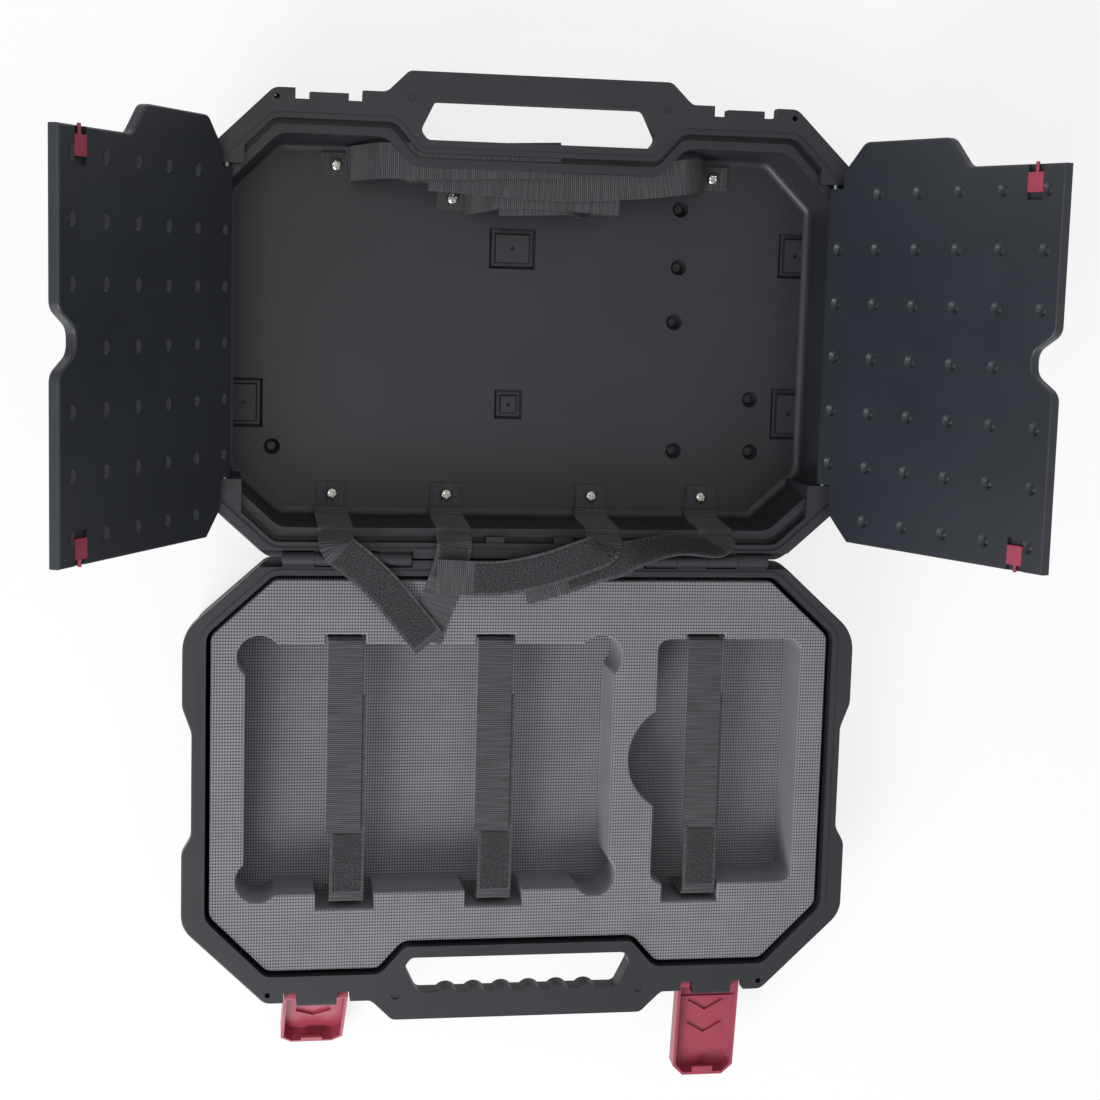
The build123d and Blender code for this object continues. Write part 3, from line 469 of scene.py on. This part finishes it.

# %% [markdown]
# ## Webbing
# Every strap is 25 mm polypropylene webbing. Its weave shows as ribs from edge to edge, 1.45 mm
# apart, each a little lighter or darker than the next, crossed by columns of yarn. The yarn is
# painted darker down between the ribs and columns and lighter on their tops, which is painted
# shade. The pattern follows the strap, so it reads the strap's own UV map, which is laid out in
# metres: U across and V along. The hook tape is a mat of tiny hooks, so it is a fine speckle on
# matt black.
# %% Webbing material
rib_pitch, column_pitch, column_share = 1.45, 1.25, 0.35


def ridges(tree, value, pitch_mm, turn=0.0):
    """|sin(pi value / pitch + turn)|: a row of rounded ridges one pitch apart."""
    phase = maths(tree, "MULTIPLY_ADD", value, math.pi / (pitch_mm * MM), turn)
    return maths(tree, "ABSOLUTE", maths(tree, "SINE", phase))


webbing, tree, shader = new_material("polypropylene webbing")
flat = add(tree, "ShaderNodeUVMap", uv_map="weave").outputs[0]
apart = add(tree, "ShaderNodeSeparateXYZ", {0: flat})
slip = maths(tree, "MULTIPLY", noise(tree, flat, scale=60.0), 2.5)
ribs = ridges(tree, apart.outputs["Y"], rib_pitch, slip)
columns = ridges(tree, apart.outputs["X"], column_pitch)
weave = maths(tree, "MULTIPLY_ADD", columns, column_share, ribs)
by_rib = add(tree, "ShaderNodeMapping", {"Vector": flat, "Scale": (30.0, 700.0, 1.0)})
odd = noise(tree, by_rib.outputs[0], scale=1.0, detail=1.0)
# Painted shade: the yarn is darker the lower it lies in the weave, and each rib also has its own
# random tone.
light = maths(tree, "MULTIPLY", weave, ranged(tree, odd, 0.3, 0.7, 0.45, 1.0))
tone = mixed(tree, ranged(tree, light, 0.2, 1.25), linear("#191a1c"), linear("#55565b"))
tree.links.new(tone, shader.inputs["Base Color"])
shader.inputs["Roughness"].default_value = 0.62
shader.inputs["Sheen Weight"].default_value = 0.15
bumped(tree, shader, weave, depth_mm=0.3, strength=0.8)

hook_tape, tree, shader = new_material("hook tape")
flat = add(tree, "ShaderNodeUVMap", uv_map="weave").outputs[0]
hooks = ranged(tree, noise(tree, flat, scale=900.0), 0.35, 0.68)
tone = mixed(tree, hooks, linear("#0b0b0c"), linear("#45464b"))
tree.links.new(tone, shader.inputs["Base Color"])
shader.inputs["Roughness"].default_value = 0.8
bumped(tree, shader, hooks, depth_mm=0.5, strength=1.0)

thread, tree, shader = new_material("bonded nylon thread")
shader.inputs["Base Color"].default_value = linear("#303135")
shader.inputs["Roughness"].default_value = 0.55
print("webbing:", webbing.name, "with", hook_tape.name, "and", thread.name)

# %% [markdown]
# ## Strap surfaces
# A strap is a ribbon carried along a path. The path runs smoothly through a few stations, each with
# a centre and an across direction. Between the stations both follow a Catmull-Rom curve, and the
# grid of points is that curve plus a share of the across direction.
# %% Strap surfaces
strap_width, strap_thick = 25.0, 1.4
tape_width, tape_thick = 20.0, 0.6
tape_side = -1  # a tape is sewn on the side away from the normal
tape_lift = strap_thick / 2 + 0.25
ribbon_columns = 7
stitch_pitch, stitch_half, thread_half, thread_height, stitch_lift = 3.4, 1.2, 0.3, 0.22, 0.32
edge_inset, end_inset = 1.5, 1.6


def smooth_path(knots, steps):
    """Catmull-Rom curve through rows of knots: a cubic whose slope at a knot is half the step
    between its neighbours. The rows may hold any number of values."""
    knots = np.asarray(knots, float)
    padded = np.vstack([2 * knots[0] - knots[1], knots, 2 * knots[-1] - knots[-2]])
    t = np.linspace(0, 1, steps, endpoint=False)[:, None]
    spans = []
    for i in range(len(knots) - 1):
        a, b, c, d = padded[i:i + 4]
        spans.append(0.5 * (2 * b + (c - a) * t + (2 * a - 5 * b + 4 * c - d) * t ** 2
                            + (3 * b - a - 3 * c + d) * t ** 3))
    spans.append(knots[-1:])
    return np.vstack(spans)


def frames_along(centres, across):
    """Run, across and normal directions at each row of a path, and the distance along it."""
    run = np.gradient(centres, axis=0)
    run /= np.linalg.norm(run, axis=1)[:, None]
    flat = across - (across * run).sum(1)[:, None] * run
    flat /= np.linalg.norm(flat, axis=1)[:, None]
    steps = np.linalg.norm(np.diff(centres, axis=0), axis=1)
    return run, flat, np.cross(flat, run), np.concatenate([[0], np.cumsum(steps)])


def ribbon(name, centres, across, width, thick, material):
    """Closed ribbon: point = centre + share * width * across + side * thickness / 2 * normal,
    where the normal is across times run. Its UV is the distance across and the distance along."""
    centres = np.asarray(centres) * MM
    _, across, normal, length = frames_along(centres, np.asarray(across, float))
    share = np.linspace(-0.5, 0.5, ribbon_columns)
    flat = centres[:, None] + (share * width * MM)[None, :, None] * across[:, None]
    half = normal[:, None] * thick * MM / 2
    ring = np.concatenate([flat + half, (flat - half)[:, ::-1]], axis=1)
    rows, around = ring.shape[:2]
    index = np.arange(rows * around).reshape(rows, around)
    near, far = index[:-1], index[1:]
    sides = np.stack([near, np.roll(near, -1, 1), np.roll(far, -1, 1), far], -1).reshape(-1, 4)
    ends = [tuple(index[0][::-1]), tuple(index[-1])]
    mesh = bpy.data.meshes.new(name)
    mesh.from_pydata(ring.reshape(-1, 3), [], [tuple(f) for f in sides.tolist()] + ends)
    corner = np.empty(len(mesh.loops), dtype=np.int32)
    mesh.loops.foreach_get("vertex_index", corner)
    u = np.concatenate([share, share[::-1]]) * width * MM
    uv = np.stack([np.tile(u, rows), np.repeat(length, around)], -1)[corner]
    mesh.uv_layers.new(name="weave").data.foreach_set("uv", uv.astype(np.float32).ravel())
    mesh.update()
    mesh.materials.append(material)
    print(name, "length", round(float(length[-1]) * 1000), "mm")
    return put(name, mesh)


stitch = turned([(r, (1 - r ** 2) ** 0.5) for r in (near_axis, 0.5, 0.85, 1.0)], 8)


def stitched(name, centres, across, body):
    """Two lines of stitches along a tape and one across each end, as small low ellipsoids."""
    run, flat, normal, length = frames_along(centres, across)

    def at(distance):
        """Centre, run, across and outward directions at a distance along the tape."""
        return [np.array([np.interp(distance, length, values[:, k]) for k in range(3)])
                for values in (centres, run, flat, normal * tape_side)]

    places = []
    for distance in np.arange(2.0, length[-1] - 1.5, stitch_pitch):
        centre, along, aside, up = at(distance)
        for edge in (-1, 1):
            origin = centre + aside * edge * (tape_width / 2 - edge_inset) + up * stitch_lift
            places.append([origin, along * stitch_half, aside * thread_half, up * thread_height])
    for distance in (end_inset, length[-1] - end_inset):
        centre, along, aside, up = at(distance)
        for share in np.arange(-tape_width / 2 + 3.2, tape_width / 2 - 2, stitch_pitch):
            origin = centre + aside * share + up * stitch_lift
            places.append([origin, along * thread_half, aside * stitch_half, up * thread_height])
    return scattered(name, stitch, places, thread, body)


def strap(name, stations, node, hold, tape=None, steps=10):
    """A strap through stations of (centre, across), standing for its CAD solid. A tape is sewn on
    between two shares of the path's rows, and hold ties every piece to what carries it."""
    rows = smooth_path([tuple(c) + tuple(a) for c, a in stations], steps)
    centres = placed(rows[:, :3])
    _, across, normal, _ = frames_along(centres, rows[:, 3:])
    items = [ribbon(name, centres, across, strap_width, strap_thick, webbing)]
    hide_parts(node)
    if tape:
        first, last = (int(round(share * (len(rows) - 1))) for share in tape)
        under = (centres + normal * tape_side * tape_lift)[first:last + 1]
        aside = across[first:last + 1]
        items.append(ribbon(name + "_tape", under, aside, tape_width, tape_thick, hook_tape))
        items.append(stitched(name + "_stitches", under, aside, None))
    for item in items:
        hold(item)


# %% [markdown]
# ## Loose straps of the tray
# Four straps come out from under the lid's rear screws and tumble over the hinge into the base.
# Their shape lies on the lid behind the hinge and on the base in front of it, and they are baked
# where they lie, carried by neither. They lie pressed into the ledge, so that a shut flap clears
# them. Four more rise from the front screws towards the middle, where they lie on each other just
# below the plane of the shut flaps.
# %% Loose straps of the tray
across_x, across_y = (1, 0, 0), (0, 1, 0)
floor_z = tray_floor + tab_height + 0.1 + strap_thick / 2
climb = [(32, floor_z), (28.5, floor_z + 1.3), (25.3, -50), (22.3, -13), (21.9, -10.3),
         (20.7, -9.35), (17.6, -9.35), (15.8, -6.8), (15.3, -2.5)]
rear_straps = [
    (-140, (0.73, 0.985), [
        ((-139.8, 13.6, 2.2), across_x), ((-137.5, 7.5, 6.2), (0.98, 0.2, 0)),
        ((-123, -4, 7.5), (0.85, 0.5, 0)), ((-106, -20, 4.5), (0.8, 0.6, 0)),
        ((-88, -41, 1.2), (0.78, 0.62, 0)), ((-71.5, -61, 0.4), (0.78, 0.62, 0))]),
    (-55, (0.715, 0.82), [
        ((-55, 14.4, 0.4), across_x), ((-55.5, 10, 4), (1, -0.05, 0)),
        ((-58, -4, 5), (1, -0.15, 0)), ((-64, -24, 1), (0.97, -0.25, 0)),
        ((-70, -42, -1.4), (0.96, -0.28, 0)), ((-75, -59, -1.5), (0.96, -0.28, 0))]),
    (55, (0.68, 0.955), [
        ((54.8, 13.6, 2.2), across_x), ((51, 8.5, 7.5), (0.9, -0.4, 0.05)),
        ((30, 1, 10), (0.5, -0.85, 0.05)), ((8, -6, 10.2), (0.3, -0.95, 0)),
        ((-25, -12, 10.2), (0.08, -1, 0)), ((-68, -11, 9.6), (-0.05, -1, 0))]),
    (140, (0.6, 0.93), [
        ((139.5, 13.8, 2.5), (1, 0, 0.1)), ((131, 11.5, 9.5), (0.7, -0.4, 0.55)),
        ((104, 13.5, 13), (0.2, -0.45, 0.86)), ((78, 7, 11), (0.2, -0.6, 0.75)),
        ((64, 1, 6.5), (0.3, -0.85, 0.42)), ((50, -3, 3.8), (0.33, -0.94, 0.1)),
        ((24, -12, 3.2), (0.33, -0.94, 0.02)), ((-4, -20, 2.8), (0.3, -0.95, 0))]),
]
front_straps = [
    [((-132, 280.5, floor_z), across_y), ((-129, 281, -52), across_y),
     ((-123, 281, -31.8), across_y), ((-115, 281.5, -16.9), across_y),
     ((-102, 282, -11.4), across_y), ((-60, 283, -10.4), (-0.02, 1, 0)),
     ((17, 286.5, -10.9), (-0.05, 1, 0))],
    [((-46, 260, floor_z), across_y), ((-41, 260.5, -50.6), across_y),
     ((-34, 262, -28.6), across_y), ((-23, 264, -18.9), across_y),
     ((10, 264, -17.6), across_y), ((62, 262, -18), across_y)],
    [((46, 260, floor_z), across_y), ((41, 260, -50.6), across_y),
     ((34, 260, -30.2), across_y), ((24, 261, -20.8), across_y),
     ((0, 260, -20), across_y), ((-26, 259, -20.4), across_y)],
    [((132, 281, floor_z), across_y), ((129, 281, -50.6), across_y),
     ((123, 280.5, -31.8), across_y), ((114, 279, -18.5), across_y),
     ((100, 277, -15.2), (-0.05, 1, 0)), ((75, 274, -14.9), (-0.08, 1, 0)),
     ((16, 270.5, -15.1), across_y), ((-77, 274.6, -14.2), (0.05, 1, 0))],
]


def bends_with_lid(item):
    """Baked where it lies, carried by neither the lid nor the base."""
    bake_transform(item)


def rides_lid(item):
    """Carried whole by the lid."""
    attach(item, "lid")


def rides_base(item):
    """Carried whole by the base."""
    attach(item, "base")


for number, (x, tape, stations) in enumerate(rear_straps, 1):
    start = [((x, y, z), across_x) for y, z in climb]
    strap("loose_strap_rear_%d" % number, start + stations, "tray_strap_lower_%d" % number,
          bends_with_lid, tape)
for number, stations in enumerate(front_straps, 1):
    strap("loose_strap_front_%d" % number, stations, "tray_strap_upper_%d" % number, rides_lid)

# %% [markdown]
# ## Straps over the pockets
# Each is an under half that comes up from the front of its slot and an upper half that comes from
# the rear one, closed with hook tape. They lie taut, so their path is straight apart from the turn.
# %% Straps over the pockets
pocket_straps = (("a", -128.5, -131.5), ("b", -19.5, -22.5), ("c", 136.5, 135.0))
slot_bottom, slot_middle = -47, -30
front_y, rear_y = -253.6, -58.5
under_z = -4.6
upper_z = under_z + strap_thick + 0.1
under_half = [(front_y, slot_bottom), (front_y, slot_middle), (front_y, -9.5),
              (front_y + 1.4, -6), (front_y + 5, under_z),
              (-225, under_z), (-160, under_z), (-100, under_z)]
upper_half = [(rear_y, slot_bottom), (rear_y, slot_middle), (rear_y, -8),
              (rear_y - 1.4, -4.4), (rear_y - 5, upper_z),
              (-100, upper_z), (-150, upper_z), (-201, upper_z)]
tape_ys = (-203, -213, -224, -235, -245.6)
tape_z = under_z + 1.0
for letter, under_x, upper_x in pocket_straps:
    for half, x, path in (("under", under_x, under_half), ("upper", upper_x, upper_half)):
        strap("pocket_strap_%s_%s_half" % (letter, half), [((x, y, z), across_x) for y, z in path],
              "foam_strap_%s_%s" % (letter, half), rides_base, steps=6)
    line = placed([(under_x, y, tape_z) for y in tape_ys])
    aside = np.array([across_x] * len(tape_ys), float)
    tape = ribbon("hook_tape_%s" % letter, line, aside, tape_width, tape_thick, hook_tape)
    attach(tape, "base")
    stitched("hook_tape_%s_stitches" % letter, line, aside, "base")
    if letter == "a":
        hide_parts("foam_strap_patches")
print("straps over the pockets:", len(pocket_straps))

# %% [markdown]
# ## Strap tabs
# Each loose strap is folded under itself and held to the tray by a pan-head screw.
# %% Strap tabs
tab_half, tab_width, tab_thick = 11, 17.0, 2.6
tab_z, tab_crown = -58.6, 0.1
for number, (x, y) in enumerate(anchors, 1):
    line = placed([(x - tab_half, y, tab_z), (x, y, tab_z + tab_crown), (x + tab_half, y, tab_z)])
    tab = ribbon("strap_tab_%d" % number, line, [across_y] * 3, tab_width, tab_thick, webbing)
    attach(tab, "lid")
    if number == 1:
        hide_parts("strap_tabs")
